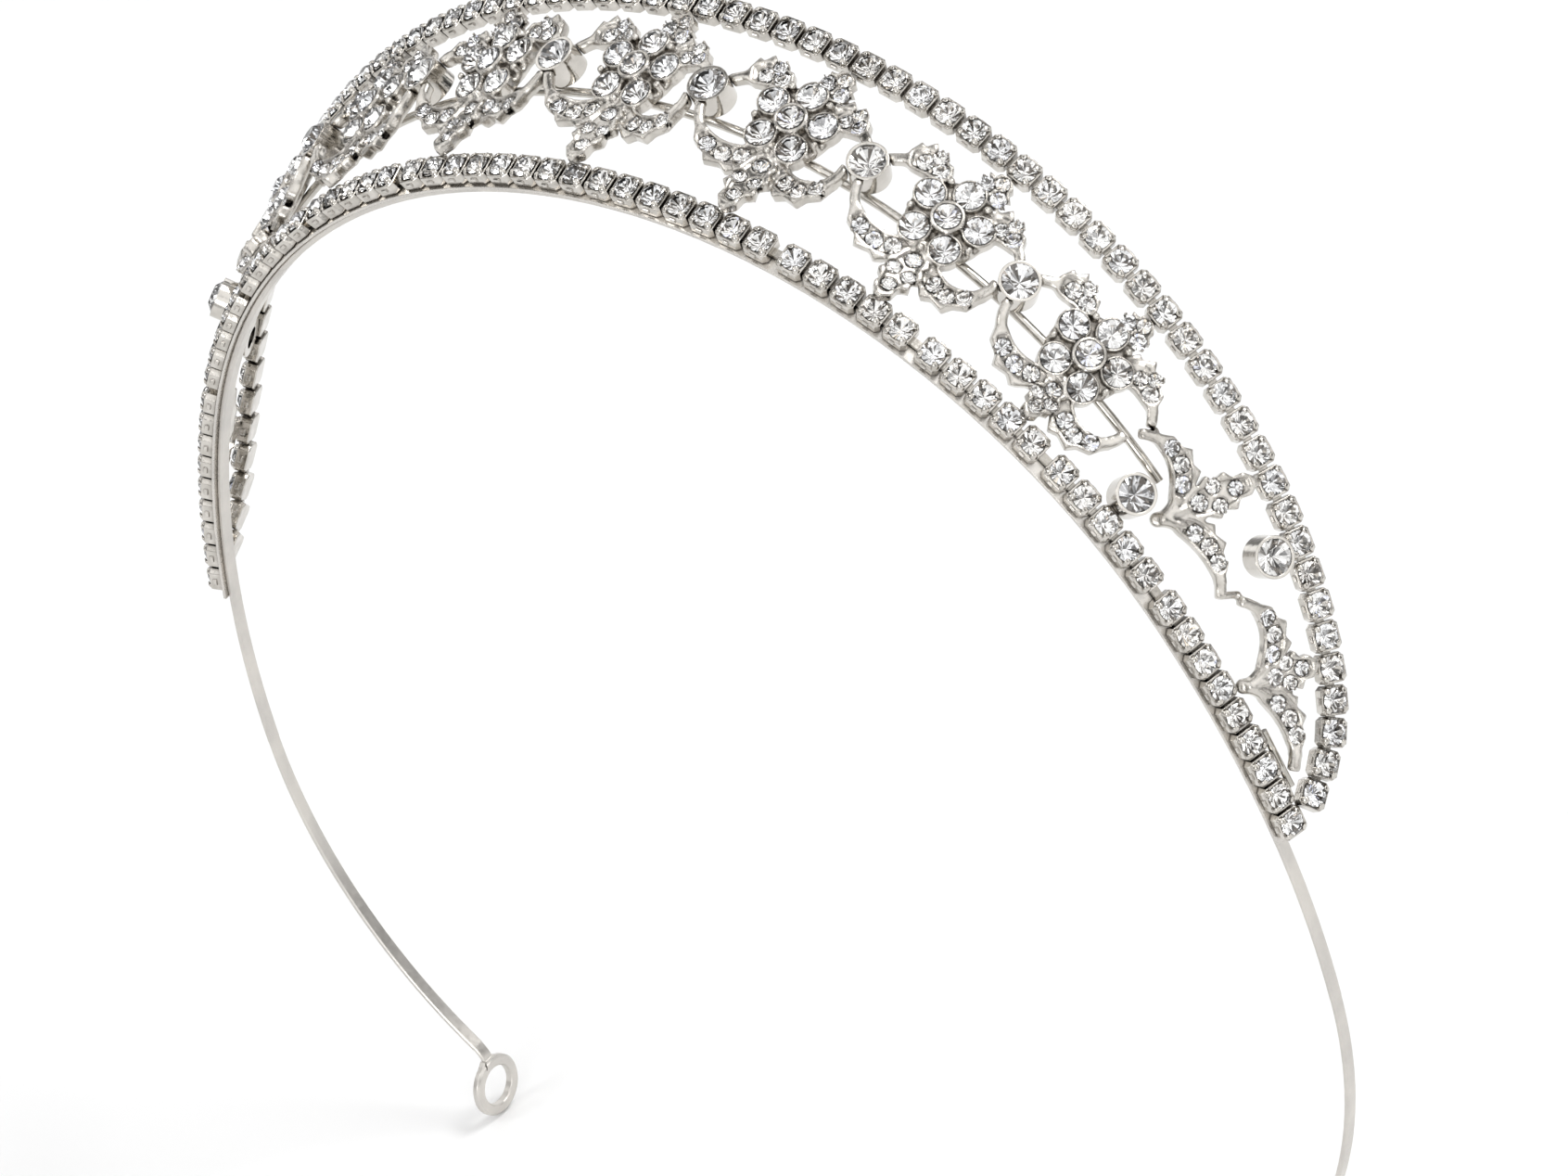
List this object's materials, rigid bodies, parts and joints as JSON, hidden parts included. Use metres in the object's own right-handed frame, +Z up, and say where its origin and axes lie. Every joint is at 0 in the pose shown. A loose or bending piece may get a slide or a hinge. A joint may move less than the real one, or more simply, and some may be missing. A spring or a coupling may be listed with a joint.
{
  "type": "bridal tiara",
  "caption": "Sprung headband tiara with a crystal crescent: cup chains bound pave flowers, leaf sprays and collet stones; eyes at both ends take hair pins.",
  "frame": {"origin": "middle of the part's box at the bottom, on the ground under the two end eyes", "axes": "+Z up from the end eyes to the crown, -Y to the front where the crystals face, X across from end eye to end eye; the band lies in a plane of constant Y"},
  "size_m": [0.136, 0.0246, 0.1299],
  "materials": {
    "band_plating": "bright plated, softly brushed along the strip",
    "chain_plating": "bright plated pressed sheet",
    "cast_plating": "bright plated casting with slightly uneven skin",
    "collet_plating": "bright plated, turned smooth",
    "wire_plating": "bright plated drawn wire",
    "chain_crystal": "clear cut crystal with a silver foil back",
    "flower_crystal": "clear cut crystal with a silver foil back",
    "collet_crystal": "clear cut crystal with a silver foil back"
  },
  "bodies": {
    "root": {"headband": "band_plating", "leg_right": "band_plating", "leg_left": "band_plating", "base_strip": "band_plating", "lower_chain_cups": "chain_plating", "lower_chain_links": "chain_plating", "lower_chain_stones": "chain_crystal", "upper_chain_cups": "chain_plating", "upper_chain_links": "chain_plating", "upper_chain_stones": "chain_crystal", "flower_centre": "cast_plating", "flower_right_1": "cast_plating", "flower_right_2": "cast_plating", "flower_right_3": "cast_plating", "flower_left_1": "cast_plating", "flower_left_2": "cast_plating", "flower_left_3": "cast_plating", "flower_centre_stones": "flower_crystal", "flower_right_1_stones": "flower_crystal", "flower_right_2_stones": "flower_crystal", "flower_right_3_stones": "flower_crystal", "flower_left_1_stones": "flower_crystal", "flower_left_2_stones": "flower_crystal", "flower_left_3_stones": "flower_crystal", "collet_right_1": "collet_plating", "collet_right_2": "collet_plating", "collet_right_3": "collet_plating", "collet_left_1": "collet_plating", "collet_left_2": "collet_plating", "collet_left_3": "collet_plating", "collet_right_stones": "collet_crystal", "collet_left_stones": "collet_crystal", "spray_right_inner": "cast_plating", "spray_right_outer": "cast_plating", "spray_left_inner": "cast_plating", "spray_left_outer": "cast_plating", "spray_right_inner_stones": "flower_crystal", "spray_right_outer_stones": "flower_crystal", "spray_left_inner_stones": "flower_crystal", "spray_left_outer_stones": "flower_crystal", "end_collet_right_lower": "collet_plating", "end_collet_right_upper": "collet_plating", "end_collet_left_lower": "collet_plating", "end_collet_left_upper": "collet_plating", "end_collet_right_stones": "collet_crystal", "end_collet_left_stones": "collet_crystal", "back_wire": "wire_plating", "tip_wire_right": "wire_plating", "tip_wire_left": "wire_plating"}
  },
  "joints": []
}
